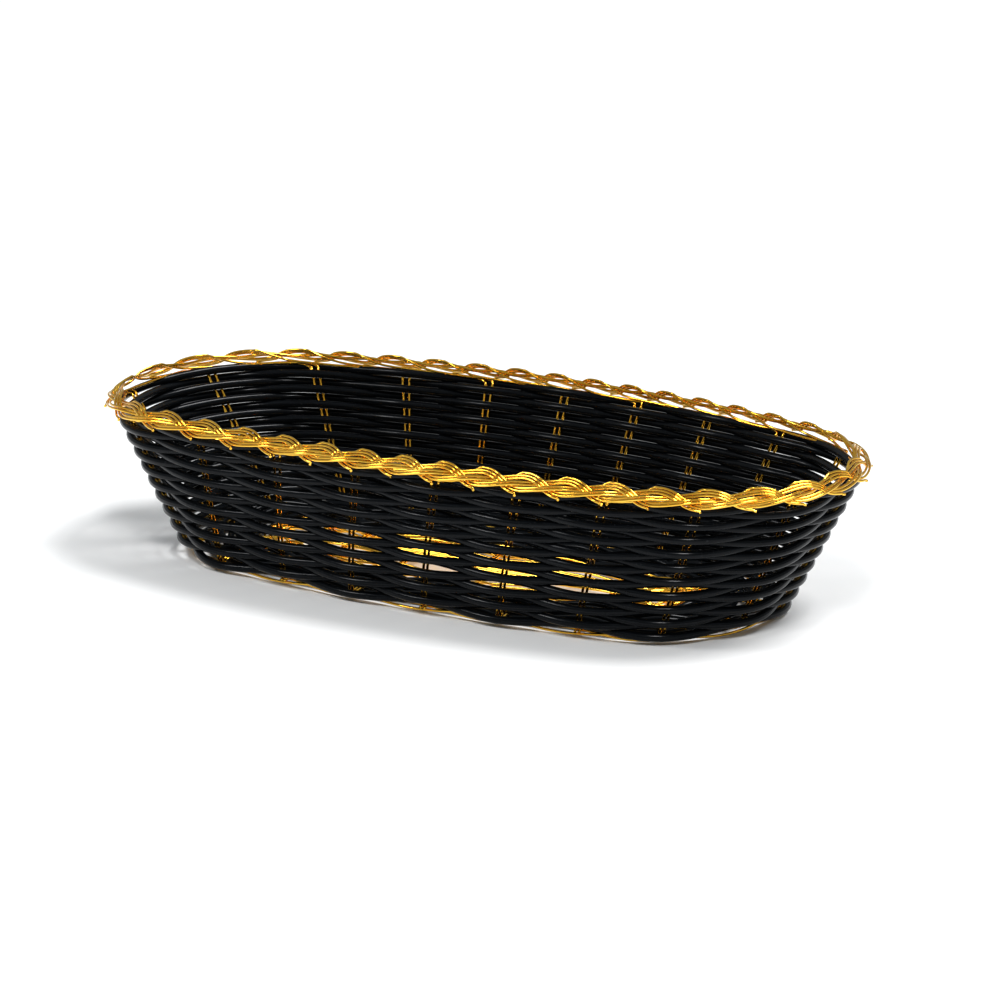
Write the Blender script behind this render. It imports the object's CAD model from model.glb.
"""Oblong woven bread basket: black cord on gold wire stakes, with a plaited gold wire rim.

Every wire and cord is a round tube along its own path. The outline and the heights of the rows
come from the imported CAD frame, and the stakes follow the same rule as there. Lengths are in metres.
"""

import math

import bpy
import numpy as np
from mathutils import Matrix, Vector


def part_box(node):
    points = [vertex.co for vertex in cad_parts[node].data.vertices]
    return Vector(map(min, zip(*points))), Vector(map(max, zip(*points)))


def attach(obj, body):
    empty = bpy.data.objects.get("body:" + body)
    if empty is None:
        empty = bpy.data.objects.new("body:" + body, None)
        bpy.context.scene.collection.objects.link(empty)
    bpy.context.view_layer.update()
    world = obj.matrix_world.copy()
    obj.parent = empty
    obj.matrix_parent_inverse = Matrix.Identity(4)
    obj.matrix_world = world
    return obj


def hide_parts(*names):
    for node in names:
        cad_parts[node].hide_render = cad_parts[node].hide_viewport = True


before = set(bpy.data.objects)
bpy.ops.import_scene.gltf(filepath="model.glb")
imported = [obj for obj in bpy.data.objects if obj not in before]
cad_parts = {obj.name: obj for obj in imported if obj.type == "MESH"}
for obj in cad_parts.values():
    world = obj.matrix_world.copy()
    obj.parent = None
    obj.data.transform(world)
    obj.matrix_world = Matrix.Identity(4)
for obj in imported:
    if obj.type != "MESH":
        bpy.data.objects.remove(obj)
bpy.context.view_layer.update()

MM = 0.001
CORD_D = 3.8 * MM
WIRE_D = 1.2 * MM
CORD_SIDES = 12
WIRE_SIDES = 8
WEAVE_GAP = 0.2 * MM  # between a cord and the wires it passes
WIRE_GAP = 0.15 * MM  # between wires that cross
rng = np.random.default_rng(11)


# ---------------------------------------------------------------- the outline, from the frame

SIDE_PAIRS = 5  # pairs of wires that cross the base from side to side
END_PAIRS = 5  # pairs that run along the middle of the base
STAKES = 2 * (SIDE_PAIRS + END_PAIRS)  # every pair stands up at both of its ends
END_REACH = (END_PAIRS - 1) // 2  # stakes of an end on each side of its tip
WALL_ROWS = 19
BASE_ROUNDS = 7
GOLD_ROUNDS = 6
RIM_STRANDS = ("rim_strand_a", "rim_strand_b", "rim_strand_c")


def box_of(names):
    """Lowest and highest corner of several CAD nodes together."""
    corners = np.array([[list(c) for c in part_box(n)] for n in names])
    return corners[:, 0].min(0), corners[:, 1].max(0)


rim_low, rim_high = box_of(RIM_STRANDS)
foot_low, foot_high = box_of(["foot_wire_a", "foot_wire_b"])
PLAIT_REACH = 4.5 * MM  # from the wall's middle line to the plait's outer face
FOOT_REACH = 0.8 * MM  # from the wall's middle line to the outer face of the foot wires
RIM_A = (rim_high[0] - rim_low[0]) / 2 - PLAIT_REACH
RIM_B = (rim_high[1] - rim_low[1]) / 2 - PLAIT_REACH
RIM_R = RIM_B * 67 / 80  # the radius of the rounded ends keeps its share of the half width
RIM_Z = (rim_low[2] + rim_high[2]) / 2
FOOT_A = foot_high[0] - FOOT_REACH
FOOT_B = foot_high[1] - FOOT_REACH
FOOT_R = FOOT_B * 56 / 62
FOOT_DROP = 0.4 * MM  # from the bend of the stakes down to the middle of the foot wires
FOOT_Z = (foot_low[2] + foot_high[2]) / 2 + FOOT_DROP
END_WIRE_LIFT = WIRE_D + WIRE_GAP  # lengthwise wires lie on the crosswise ones
BASE_Z = sum(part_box("base_gold_round_1")[i].z for i in (0, 1)) / 2 - END_WIRE_LIFT / 2
ROW_Z = [sum(c.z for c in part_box(f"wall_row_{i:02d}")) / 2 for i in range(1, WALL_ROWS + 1)]
PAIR_PITCH = 1.9 * MM
PAIR_SPREAD = 4.2 * MM  # the two wires of a pair part towards the rim
STAKE_TURN = 0.3  # how far the stakes are turned around the wall, in bays
FOOT_CROWDING = 0.25  # how much they crowd towards one end at the foot
END_FANNING = 0.15  # how much the bays widen at the ends towards the rim
FRONT_LEAN = 0.4  # how far they lean along the rim, at the front and at the back
BACK_LEAN = -0.2
SWING_TILT = math.radians(16)  # how far the rows' swing leans down as it goes out
PITCHES = STAKES * 2  # strokes of the plait around the rim


def side_radius(a, b, r):
    return ((a - r) ** 2 + b * b - r * r) / (2 * (b - r))


def on_oval(a, b, r, u):
    """x, y and outward direction on an oval of four arcs; u is the share of its length from +X."""
    u = np.asarray(u, float) % 1.0
    big = side_radius(a, b, r)
    half = np.arctan2(a - r, big - b)
    end = r * (math.pi / 2 - half)
    side = big * half
    quarter = end + side
    k = np.floor(u * 4).astype(int)
    s = (u * 4 - k) * quarter
    s = np.where(k % 2 == 0, s, quarter - s)
    on_end = s < end
    t = np.where(on_end, s / r, math.pi / 2 - half + (s - end) / big)
    x = np.where(on_end, a - r + r * np.cos(t), big * np.cos(t))
    y = np.where(on_end, r * np.sin(t), b - big + big * np.sin(t))
    mirror_x = np.where((k == 1) | (k == 2), -1, 1)
    mirror_y = np.where(k >= 2, -1, 1)
    return mirror_x * x, mirror_y * y, mirror_x * np.cos(t), mirror_y * np.sin(t)


def perimeter(a, b, r):
    big = side_radius(a, b, r)
    half = np.arctan2(a - r, big - b)
    return 4 * (r * (math.pi / 2 - half) + big * half)


def rise(z):
    return (z - FOOT_Z) / (RIM_Z - FOOT_Z)


def place_at(k, z):
    """Where stake k stands at a height, in bays. Half a count on is the middle of a bay."""
    turn = (k / STAKES - 0.75) * 2 * math.pi  # 0 at the middle of the front
    lean = (FRONT_LEAN * (1 + np.cos(turn)) + BACK_LEAN * (1 - np.cos(turn))) / 2
    at_foot = FOOT_CROWDING * np.sin(turn)
    at_rim = lean - END_FANNING * np.sin(2 * turn)
    return k + STAKE_TURN + at_foot * (1 - rise(z)) + at_rim * rise(z)


def middle(k, along, z):
    """x, y, outward direction and z on the wall's middle surface; along is a length."""
    k, along, z = np.broadcast_arrays(*(np.asarray(v, float) for v in (k, along, z)))
    up = rise(z)
    a = FOOT_A + (RIM_A - FOOT_A) * up
    b = FOOT_B + (RIM_B - FOOT_B) * up
    r = FOOT_R + (RIM_R - FOOT_R) * up
    return *on_oval(a, b, r, place_at(k, z) / STAKES + along / perimeter(a, b, r)), z


def wall_point(k, along, out, z):
    """Points beside the wall at stake k: along and out are lengths, and out is level."""
    x, y, nx, ny, z = middle(k, along, z)
    return np.stack([x + nx * out, y + ny * out, z], -1)


def woven_point(k, swing, z):
    """Points of a row: it swings out and a little down, about square to the long walls."""
    return wall_point(k, 0, swing * math.cos(SWING_TILT), z - swing * math.sin(SWING_TILT))


def rim_point(s, out, z):
    """Points beside the rim's middle line; s counts plait strokes, two to a bay."""
    return wall_point(np.asarray(s, float) / 2, 0, out, RIM_Z) + (z - RIM_Z)[:, None] * np.array([0, 0, 1.0])


# ---------------------------------------------------------------- tubes


def smooth_path(points, closed, steps):
    """A Catmull-Rom curve through points, with steps pieces to each span."""
    p = np.asarray(points, float)
    if closed:
        p = np.vstack([p[-1:], p, p[:2]])
    else:
        p = np.vstack([2 * p[0] - p[1], p, 2 * p[-1] - p[-2]])
    t = np.linspace(0, 1, steps, endpoint=False)[:, None]
    made = []
    for a, b, c, d in zip(p[:-3], p[1:-2], p[2:-1], p[3:]):
        made.append(
            0.5 * (2 * b + (c - a) * t + (2 * a - 5 * b + 4 * c - d) * t**2 + (3 * b - a - 3 * c + d) * t**3)
        )
    if not closed:
        made.append(p[-2:-1])
    return np.vstack(made)


def unit(v):
    return v / np.maximum(np.linalg.norm(v, axis=-1, keepdims=True), 1e-12)


def tube_parts(path, diameter, sides, closed):
    """Vertices, faces and UVs of a round tube. U runs along it in centimetres, V around it.

    The diameter is one number, or one for each point of the path.
    """
    path = np.asarray(path, float)
    radius = np.reshape(np.broadcast_to(diameter, len(path)) / 2, (-1, 1, 1))
    n = len(path)
    if closed:
        heading = unit(np.roll(path, -1, 0) - np.roll(path, 1, 0))
    else:
        heading = unit(np.gradient(path, axis=0))
    ref = np.array([0.0, 0.0, 1.0])
    across = ref - (heading @ ref)[:, None] * heading
    weak = np.linalg.norm(across, axis=1) < 0.3
    if weak.any():  # the tube stands up somewhere, so its section is carried along instead
        across[0] = unit(np.cross(heading[0], [0.3, 0.9, 0.1]))
        for i in range(1, n):
            across[i] = unit(across[i - 1] - (across[i - 1] @ heading[i]) * heading[i])
    across = unit(across)
    beside = np.cross(heading, across)
    turn = np.arange(sides) * 2 * math.pi / sides
    ring = np.cos(turn)[None, :, None] * across[:, None] + np.sin(turn)[None, :, None] * beside[:, None]
    verts = (path[:, None] + ring * radius).reshape(-1, 3)
    length = np.r_[0, np.cumsum(np.linalg.norm(np.diff(np.vstack([path, path[:1]]), axis=0), axis=1))] * 100
    faces, uvs = [], []
    for i in range(n if closed else n - 1):
        k = (i + 1) % n
        for j in range(sides):
            m = (j + 1) % sides
            faces.append((i * sides + j, i * sides + m, k * sides + m, k * sides + j))
            uvs += [
                (length[i], j / sides),
                (length[i], (j + 1) / sides),
                (length[i + 1], (j + 1) / sides),
                (length[i + 1], j / sides),
            ]
    if not closed:
        faces.append(tuple(range(sides))[::-1])
        faces.append(tuple((n - 1) * sides + j for j in range(sides)))
        uvs += [(0, j / sides) for j in range(sides)] * 2
    return verts, faces, uvs


def add_tubes(name, tubes, material, slot, *nodes):
    """One piece made of tubes, each (path, diameter, sides, closed). It stands for the CAD nodes."""
    verts, faces, uvs, start = [], [], [], 0
    for path, diameter, sides, closed in tubes:
        v, f, uv = tube_parts(settle(path), diameter, sides, closed)
        faces += [tuple(i + start for i in face) for face in f]
        start += len(v)
        verts.append(v)
        uvs += uv
    mesh = bpy.data.meshes.new(name)
    mesh.from_pydata(np.vstack(verts).tolist(), [], faces)
    mesh.uv_layers.new(name="UVMap").data.foreach_set("uv", np.array(uvs, np.float32).ravel())
    mesh.shade_smooth()
    mesh.materials.append(material)
    piece = bpy.data.objects.new(name, mesh)
    bpy.context.scene.collection.objects.link(piece)
    for face in mesh.polygons:
        if len(face.vertices) > 4:
            face.use_smooth = False
    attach(piece, "root")
    if nodes:
        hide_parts(*nodes)


SAG = 1.7 * MM  # how far the ends of the rim hang below its middle
TILT = 1.05 * MM  # how far the +X end of the rim is tilted up


def settle(path):
    """The small unevenness of a basket made by hand, which grows from nothing at the floor."""
    p = np.array(path, float)
    k = np.clip(p[:, 2] / RIM_Z, 0, 1.1)
    x = p[:, 0] / RIM_A
    p[:, 2] += k * (-SAG * x**2 + TILT * x)
    return p


# ---------------------------------------------------------------- materials


class Nodes:
    """A short way to add and join shader nodes."""

    def __init__(self, name):
        self.material = bpy.data.materials.new(name)
        self.material.use_nodes = True
        self.tree = self.material.node_tree
        self.shader = self.tree.nodes["Principled BSDF"]

    def add(self, kind, inputs=None, **settings):
        node = self.tree.nodes.new(kind)
        for key, value in settings.items():
            setattr(node, key, value)
        for key, value in (inputs or {}).items():
            if isinstance(value, bpy.types.NodeSocket):
                self.tree.links.new(value, node.inputs[key])
            else:
                node.inputs[key].default_value = value
        return node

    def join(self, source, name):
        self.tree.links.new(source, self.shader.inputs[name])

    def range(self, source, low, high, start=0.3, end=0.7):
        return self.add(
            "ShaderNodeMapRange",
            {"Value": source, "From Min": start, "From Max": end, "To Min": low, "To Max": high},
        ).outputs["Result"]

    def mix(self, share, first, second):
        node = self.add("ShaderNodeMix", data_type="RGBA")
        self.tree.links.new(share, node.inputs[0])
        for socket, value in ((node.inputs[6], first), (node.inputs[7], second)):
            if isinstance(value, bpy.types.NodeSocket):
                self.tree.links.new(value, socket)
            else:
                socket.default_value = (*value, 1)
        return node.outputs[2]


def strand_noise(m, along, around):
    """Noise drawn out along the strand: along and around are its scales."""
    uv = m.add("ShaderNodeTexCoord").outputs["UV"]
    spot = m.add("ShaderNodeMapping", {"Vector": uv, "Scale": (along, around, 1)}).outputs["Vector"]
    return m.add("ShaderNodeTexNoise", {"Vector": spot, "Scale": 1.0, "Detail": 3.0}).outputs["Fac"]


def place_noise(m, scale, detail=3.0):
    place = m.add("ShaderNodeTexCoord").outputs["Object"]
    return m.add("ShaderNodeTexNoise", {"Vector": place, "Scale": scale, "Detail": detail}).outputs["Fac"]


def black_cord_material():
    m = Nodes("black_cord")
    fibre = strand_noise(m, 1.2, 26)
    patch = place_noise(m, 60)
    rub = place_noise(m, 900, 5)
    ink = m.mix(m.range(fibre, 0, 1), (0.0022, 0.0027, 0.0034), (0.007, 0.0085, 0.0105))
    worn = m.mix(m.range(rub, 0, 1, 0.62, 0.8), ink, (0.02, 0.022, 0.025))
    m.join(worn, "Base Color")
    patchy, drawn = m.range(patch, 0.0, 0.05), m.range(fibre, 0.12, 0.19)
    sheen = m.add("ShaderNodeMath", {0: patchy, 1: drawn}, operation="ADD")
    m.join(sheen.outputs[0], "Roughness")
    bump = m.add("ShaderNodeBump", {"Height": fibre, "Strength": 0.15, "Distance": 0.0002})
    fine = m.add(
        "ShaderNodeBump",
        {"Height": rub, "Strength": 0.12, "Distance": 0.0001, "Normal": bump.outputs[0]},
    )
    m.join(fine.outputs[0], "Normal")
    m.shader.inputs["Specular IOR Level"].default_value = 0.16
    return m.material


def gold_wire_material():
    m = Nodes("gold_wire")
    drawn = strand_noise(m, 0.8, 9)
    patch = place_noise(m, 45)
    wear = place_noise(m, 700, 5)
    gold = m.mix(m.range(patch, 0, 1), (0.86, 0.48, 0.055), (0.97, 0.62, 0.11))
    worn = m.mix(m.range(wear, 0, 0.6, 0.62, 0.8), gold, (0.6, 0.28, 0.03))
    m.join(worn, "Base Color")
    m.join(m.range(drawn, 0.09, 0.16), "Roughness")
    bump = m.add("ShaderNodeBump", {"Height": drawn, "Strength": 0.1, "Distance": 0.0002})
    fine = m.add(
        "ShaderNodeBump",
        {"Height": wear, "Strength": 0.05, "Distance": 0.00008, "Normal": bump.outputs[0]},
    )
    m.join(fine.outputs[0], "Normal")
    m.shader.inputs["Metallic"].default_value = 1.0
    return m.material


def table_material():
    m = Nodes("pale_table")
    patch = place_noise(m, 3)
    m.join(m.mix(m.range(patch, 0, 1), (0.90, 0.90, 0.90), (0.94, 0.94, 0.94)), "Base Color")
    m.shader.inputs["Roughness"].default_value = 0.55
    return m.material


BLACK = black_cord_material()
GOLD = gold_wire_material()


# ---------------------------------------------------------------- wall rows

WAVE = (CORD_D + WIRE_D) / 2 + WEAVE_GAP  # how far a cord swings off the middle line
STEPS_PER_BAY = 12
END_THICKENING = 0.04  # as a share of the cord's thickness
LOOSENESS = 0.05  # how unevenly the rows swing, as a share of their swing
ROW_UNEVENNESS = 0.03 * MM  # how unevenly they rise and fall


def wall_row(i):
    """Row i passes outside stake k when k + i is odd, and inside the stakes between."""
    at = np.arange(STAKES * STEPS_PER_BAY) / STEPS_PER_BAY
    knots = rng.normal(0, 1, (2, STAKES))
    low = np.floor(at).astype(int)
    share = (1 - np.cos(math.pi * (at - low))) / 2
    loose, lift = (k[low] * (1 - share) + k[(low + 1) % STAKES] * share for k in knots)
    swing = -np.cos(math.pi * (at + i)) * WAVE * (1 + LOOSENESS * loose)
    return woven_point(at, swing, ROW_Z[i - 1] + ROW_UNEVENNESS * lift)


def row_thickness(z):
    """The cord is a little thicker at the ends, where the flare sets the rows further apart."""
    _, _, nx, _, _ = middle(np.arange(STAKES * STEPS_PER_BAY) / STEPS_PER_BAY, 0, z)
    return CORD_D * (1 + END_THICKENING * nx**2)


for i in range(1, WALL_ROWS + 1):
    tube = (wall_row(i), row_thickness(ROW_Z[i - 1]), CORD_SIDES, True)
    add_tubes(f"black_row_{i:02d}", [tube], BLACK, "black_cord", f"wall_row_{i:02d}")


# ---------------------------------------------------------------- stakes and base

CORE_HALF_LENGTH = 86 * MM  # where the lengthwise wires start to fan out
CORE_PITCH = 4 * MM  # between lengthwise pairs in the middle of the base
BASE_EDGE = 6 * MM  # from the foot outline in to the flat of the base
BEND_REACH = 2.2 * MM  # size of the bend where a stake turns up
BEND_RISE = 0.35 * MM
STAKE_TOP = RIM_Z - 5 * MM


def pair_half(z):
    """Half the distance between the two wires of a pair at a height."""
    return (PAIR_PITCH + (PAIR_SPREAD - PAIR_PITCH) * np.clip(rise(z), 0, 1) ** 3) / 2


def stake_wall(k, side, inner_z):
    """The route of one stake wire up the wall. Side is -1 or 1."""
    heights = np.array([0.16, 0.35, 0.52, 0.68, 0.82])  # as shares of the height of the rim
    z = np.r_[inner_z, FOOT_Z + BEND_RISE, FOOT_Z + BEND_REACH, RIM_Z * heights, STAKE_TOP]
    out = np.r_[-BASE_EDGE, -BEND_REACH, np.zeros(len(z) - 2)]
    return wall_point(k, side * pair_half(z), out, z)


def side_stakes(i):
    back = i + END_REACH
    front = STAKES - back
    wires = []
    for side in (-1, 1):
        path = np.vstack([stake_wall(back, -side, BASE_Z)[::-1], stake_wall(front, side, BASE_Z)])
        wires.append((smooth_path(path, False, 5), WIRE_D, WIRE_SIDES, False))
    return wires


def end_stakes(i):
    right = (STAKES + i - 1 - END_REACH) % STAKES
    left = (STAKES + STAKES // 2 - right) % STAKES
    z = BASE_Z + END_WIRE_LIFT
    wires = []
    for side in (-1, 1):
        y = (i - 1 - END_REACH) * CORE_PITCH + side * PAIR_PITCH / 2
        core = [[x * CORE_HALF_LENGTH, y, z] for x in (1, 0.4, -0.4, -1)]
        path = np.vstack([stake_wall(right, side, z)[::-1], core, stake_wall(left, -side, z)])
        wires.append((smooth_path(path, False, 5), WIRE_D, WIRE_SIDES, False))
    return wires


for i in range(1, SIDE_PAIRS + 1):
    add_tubes(f"side_wires_{i}", side_stakes(i), GOLD, "gold_wire", f"side_stakes_{i}")
for i in range(1, END_PAIRS + 1):
    add_tubes(f"end_wires_{i}", end_stakes(i), GOLD, "gold_wire", f"end_stakes_{i}")


def is_right(k):
    return k <= END_REACH or k >= STAKES - END_REACH


def is_end(k):
    return is_right(k) or abs(k - STAKES // 2) <= END_REACH


def base_side_y(a, b, r, x):
    big = side_radius(a, b, r)
    corner = big * math.sin(math.atan2(a - r, big - b))
    if abs(x) < corner:
        return math.sqrt(big * big - x * x) + b - big
    return math.sqrt(max(r * r - (abs(x) - a + r) ** 2, 0))


def stake_foot(k):
    return wall_point(k, 0, -BASE_EDGE, FOOT_Z)


def crossing(a, b, r, k):
    """Where a base round crosses stake k: straight at the sides, fanned out at the ends."""
    foot = stake_foot(k)
    upper = 1 if k <= STAKES // 2 else -1
    if not is_end(k):
        far = stake_foot(STAKES - k)
        near_y = upper * base_side_y(a, b, r, foot[0])
        x = foot[0] + (far[0] - foot[0]) * (foot[1] - near_y) / (foot[1] - far[1])
        return np.array([x, upper * base_side_y(a, b, r, x)])
    nearest = STAKES - k if k > STAKES // 2 else k
    steps = nearest if is_right(k) else STAKES // 2 - nearest
    start = np.array([CORE_HALF_LENGTH if is_right(k) else -CORE_HALF_LENGTH, upper * CORE_PITCH * steps])
    centre = np.array([math.copysign(a - r, foot[0]), 0])
    d = unit(foot[:2] - start)
    f = start - centre
    h = f @ d
    return start + (-h + math.sqrt(h * h - f @ f + r * r)) * d


def between(a, b, r, p, q):
    """The point of a base round half way between two crossings."""
    m = (p + q) / 2
    big = side_radius(a, b, r)
    if abs(m[0]) > big * math.sin(math.atan2(a - r, big - b)):
        c = np.array([math.copysign(a - r, m[0]), 0])
        return c + r * unit(m - c)
    return np.array([m[0], math.copysign(base_side_y(a, b, r, m[0]), m[1])])


def base_oval(inset, swing, phase):
    a, b, r = FOOT_A - inset, FOOT_B - inset, FOOT_R - inset
    path = []
    for k in range(STAKES):
        p, q = crossing(a, b, r, k), crossing(a, b, r, (k + 1) % STAKES)
        m = between(a, b, r, p, q)
        lift, next_lift = (END_WIRE_LIFT if is_end(j % STAKES) else 0 for j in (k, k + 1))
        up = swing if (k + phase) % 2 == 0 else -swing
        path += [[*p, BASE_Z + lift + up], [*m, BASE_Z + (lift + next_lift) / 2]]
    return smooth_path(path, True, 6)


BASE_PITCH = 3.7 * MM  # between black rounds
FIRST_INSET = 6.6 * MM  # from the foot outline to the first round
BASE_CORD_D = 3.1 * MM
BASE_WAVE = (BASE_CORD_D + WIRE_D) / 2 + WEAVE_GAP
FIRST_GOLD_GAP = 2.22 * MM  # from the last black round to the first gold one
GOLD_PITCH = 2.4 * MM
GOLD_WAVE = WIRE_D + WIRE_GAP
for i in range(1, BASE_ROUNDS + 1):
    path = base_oval(FIRST_INSET + (i - 1) * BASE_PITCH, BASE_WAVE, i)
    tube = (path, BASE_CORD_D, CORD_SIDES, True)
    add_tubes(f"black_base_{i}", [tube], BLACK, "black_cord", f"base_round_{i}")
for i in range(1, GOLD_ROUNDS + 1):
    inset = FIRST_INSET + (BASE_ROUNDS - 1) * BASE_PITCH + FIRST_GOLD_GAP + (i - 1) * GOLD_PITCH
    path = base_oval(inset, GOLD_WAVE, i)
    tube = (path, WIRE_D, WIRE_SIDES, True)
    add_tubes(f"gold_base_{i}", [tube], GOLD, "gold_wire", f"base_gold_round_{i}")


FOOT_WIRE_IN = 1.1 * MM  # foot wires' middle, inward of the wall's middle line
FOOT_TWIST_OUT = 0.8 * GOLD_WAVE  # half size of their twist, outward and upward
FOOT_TWIST_UP = 0.6 * GOLD_WAVE


def foot_wire(phase):
    """One of two wires that twist round the stakes where they turn up."""
    k = np.arange(STAKES * 8) / 8
    turn = k * math.pi + phase
    out = FOOT_TWIST_OUT * np.cos(turn) - FOOT_WIRE_IN
    up = FOOT_TWIST_UP * (np.sin(turn) - np.cos(turn))
    return wall_point(k, 0, out, FOOT_Z - FOOT_DROP + up)


for name, phase in (("a", 0), ("b", math.pi)):
    tube = (foot_wire(phase), WIRE_D, WIRE_SIDES, True)
    add_tubes(f"foot_twist_{name}", [tube], GOLD, "gold_wire", f"foot_wire_{name}")


# ---------------------------------------------------------------- the plaited rim

PLAIT_TILT = math.radians(36)  # how far the plait's width leans down and out
PLAIT_OUT = 1.0 * MM  # plait's middle, outward of the wall's middle line
PLAIT_W = 3.6 * MM  # swing of a stroke across the plait
PLAIT_T = 1.0 * MM  # swing of a stroke through the plait
STRAND_PITCH = 1.5 * MM  # between the wires that lie side by side in one stroke
STROKE = perimeter(RIM_A, RIM_B, RIM_R) / PITCHES
PLAIT_WIRE_D = 1.15 * MM
LAST_TAU = 6.75  # strokes from its first top turn to where a wire dips under and is cut
FIRST_TURN = 2.2  # from a stake's number to the first top turn of its older wire, in strokes
# Where in its period of three strokes a wire lies on top of the plait (1) or at its bottom (-1)
DEPTHS = ((1 / 3, 1), (2 / 3, -1), (5 / 3, 1), (7 / 3, -1), (10 / 3, 1))


def plait_w(m):
    m = m % 3
    return np.where(m < 1, -np.cos(math.pi * m), np.cos(math.pi * (m - 1) / 2)) * PLAIT_W


def plait_t(m):
    """Over at 1/3, under at 2/3, over at 5/3 and under at 7/3 of a period of 3 strokes."""
    m = np.where(m % 3 < 1 / 3, m % 3 + 3, m % 3)
    t = np.zeros_like(m)
    for (start, sign), (end, _) in zip(DEPTHS, DEPTHS[1:]):
        inside = (m >= start) & (m <= end)
        t = np.where(inside, sign * np.cos(math.pi * (m - start) / (end - start)), t)
    return t * PLAIT_T


def plait_wire(k, c):
    """Wire c of stake k: it leaves its stake, runs along inside the rim, and plaits in."""
    first = 2 * k + FIRST_TURN + c
    spread = (c - 0.5) * 2
    top = wall_point(k, spread * pair_half(STAKE_TOP), 0, STAKE_TOP)
    below = wall_point(k, spread * pair_half(STAKE_TOP - 4 * MM), 0, STAKE_TOP - 4 * MM)
    leg = 2 * k + (c - 0.5) * PAIR_SPREAD / STROKE
    jitter = rng.normal(0, 1, 6)
    # From its stake it bends over and runs along the inside of the rim until it is plaited in.
    lead = rim_point(
        np.array([leg + 0.10 + 0.16 * c, leg + 0.30 + 0.25 * c, first - 1.0, first - 0.55]),
        np.array([-0.5, -1.4, -1.9, -2.1]) * MM + 0.25 * MM * jitter[0],
        RIM_Z + np.array([-3.8, -3.4 + 0.25 * jitter[1], -2.6 + 0.3 * jitter[2], -0.4]) * MM,
    )
    tau = np.arange(-0.2, LAST_TAU, 1 / 10)  # strokes from the first top turn
    m = tau + 0.1
    w, t = plait_w(m), plait_t(m)
    slope = np.gradient(w, tau * STROKE)
    # The wires of one stroke lie side by side, shifted square to its slope.
    size = np.hypot(1, slope)
    shift = (tau / 3 - 1) * STRAND_PITCH
    s = first + tau - slope / size * shift / STROKE
    w = w + shift / size
    # Its end dips under the outer edge of the plait, where it is cut.
    tail = LAST_TAU + np.array([0.03, 0.05, 0.07 + 0.02 * jitter[3]])
    s = np.r_[s, first + tail]
    w = np.r_[w, np.array([5.1, 5.5, 5.9 + 0.2 * jitter[4]]) * MM]
    t = np.r_[t, np.array([-1.1, -1.2, -1.1]) * MM]
    out = PLAIT_OUT + w * math.cos(PLAIT_TILT) + t * math.sin(PLAIT_TILT)
    z = RIM_Z - w * math.sin(PLAIT_TILT) + t * math.cos(PLAIT_TILT)
    path = np.vstack([[below, top], lead, rim_point(s, out, z)])
    return smooth_path(path, False, 3)


strands = ([], [], [])
for k in range(STAKES):
    for c in (0, 1):
        strands[(2 * k + c) % 3].append((plait_wire(k, c), PLAIT_WIRE_D, WIRE_SIDES, False))
for name, wires in zip("abc", strands):
    add_tubes(f"rim_plait_{name}", wires, GOLD, "gold_wire", f"rim_strand_{name}")


# ---------------------------------------------------------------- table, light and camera


def add_table():
    mesh = bpy.data.meshes.new("table")
    half = 6.0  # metres
    corners = [(x * half, y * half, 0) for x, y in ((-1, -1), (1, -1), (1, 1), (-1, 1))]
    mesh.from_pydata(corners, [], [(0, 1, 2, 3)])
    mesh.materials.append(table_material())
    table = bpy.data.objects.new("table", mesh)
    bpy.context.scene.collection.objects.link(table)


def add_light(name, place, aim, width, height, power):
    data = bpy.data.lights.new(name, "AREA")
    data.shape = "RECTANGLE"
    data.size, data.size_y, data.energy = width, height, power
    light = bpy.data.objects.new(name, data)
    light.location = place
    light.rotation_mode = "QUATERNION"
    light.rotation_quaternion = (Vector(aim) - Vector(place)).to_track_quat("-Z", "Y")
    bpy.context.scene.collection.objects.link(light)


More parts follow.
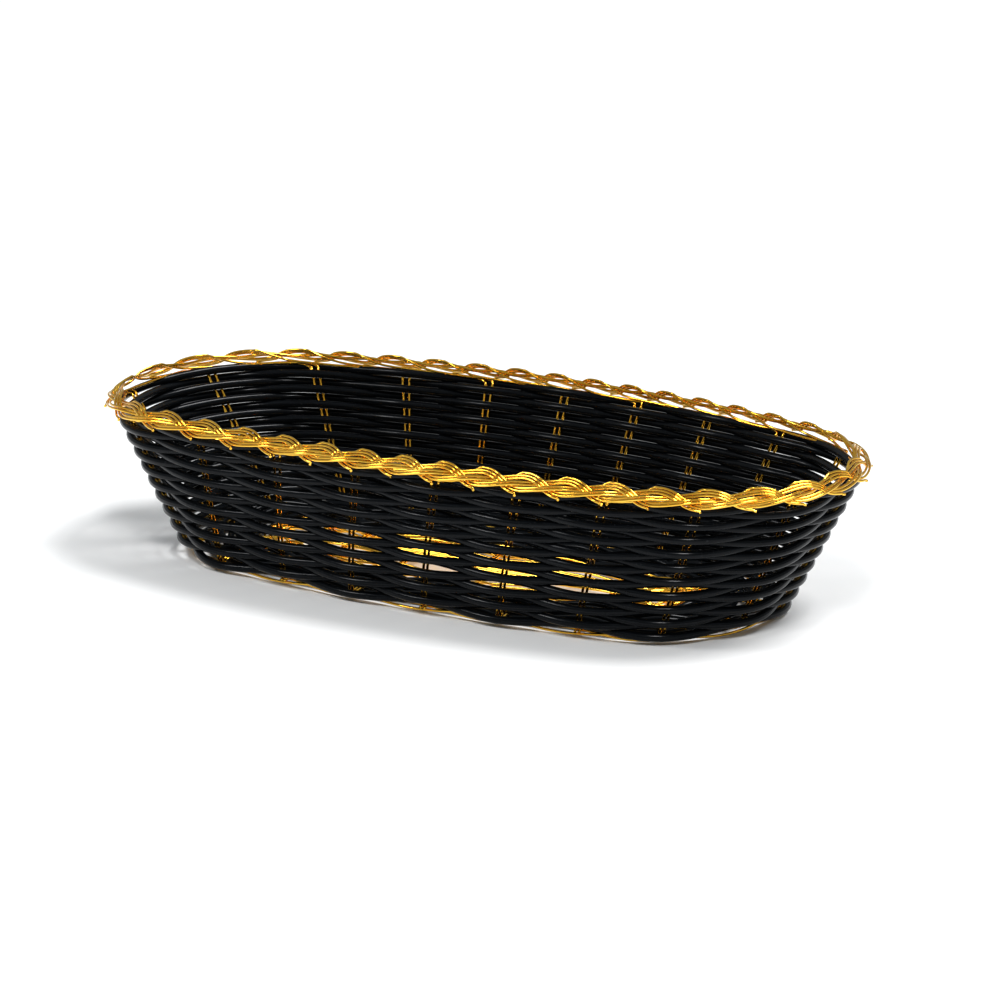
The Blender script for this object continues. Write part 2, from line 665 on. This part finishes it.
def add_sun(place, strength, angle):
    """An even soft light over the whole table; angle is its width in degrees."""
    data = bpy.data.lights.new("overhead", "SUN")
    data.energy, data.angle = strength, math.radians(angle)
    light = bpy.data.objects.new("overhead", data)
    light.rotation_mode = "QUATERNION"
    light.rotation_quaternion = (-Vector(place)).to_track_quat("-Z", "Y")
    bpy.context.scene.collection.objects.link(light)


def add_camera():
    """A long lens in front of the basket and to its right, a little above the rim."""
    azimuth, elevation, roll = math.radians(33.87), math.radians(15.57), math.radians(-0.63)
    distance, shift_right, shift_up = 2.5406, 0.00866, 0.03404
    look = Vector(
        (
            -math.sin(azimuth) * math.cos(elevation),
            math.cos(azimuth) * math.cos(elevation),
            -math.sin(elevation),
        )
    )
    level = Vector((math.cos(azimuth), math.sin(azimuth), 0))
    upright = level.cross(look)
    right = level * math.cos(roll) + upright * math.sin(roll)
    up = upright * math.cos(roll) - level * math.sin(roll)
    data = bpy.data.cameras.new("camera")
    sensor_width, lens_length = 36, 5.663  # the length is counted in sensor widths
    data.sensor_width = sensor_width
    data.lens = sensor_width * lens_length
    data.clip_start, data.clip_end = 0.1, 50
    camera = bpy.data.objects.new("camera", data)
    place = -look * distance + right * shift_right + up * shift_up
    camera.matrix_world = Matrix(
        [[right[i], up[i], -look[i], place[i]] for i in range(3)] + [[0, 0, 0, 1]]
    )
    bpy.context.scene.collection.objects.link(camera)
    bpy.context.scene.camera = camera


# The sun stands high, behind the basket and to its right. Two softboxes stand in front.
add_table()
add_sun((0.4, 0.3, 1), 2.2, 25)
add_light("left", (-0.9, -0.85, 1.1), (0, 0, 0.03), 0.25, 0.5, 5)
add_light("right", (0.61, -0.91, 1.3), (0, 0, 0.03), 0.25, 0.5, 9)
world = bpy.data.worlds.new("studio")
world.use_nodes = True
world.node_tree.nodes["Background"].inputs["Color"].default_value = (0.92, 0.97, 1, 1)
world.node_tree.nodes["Background"].inputs["Strength"].default_value = 0.36
bpy.context.scene.world = world
bpy.context.scene.view_settings.view_transform = "Standard"
bpy.context.scene.view_settings.look = "Medium High Contrast"
add_camera()
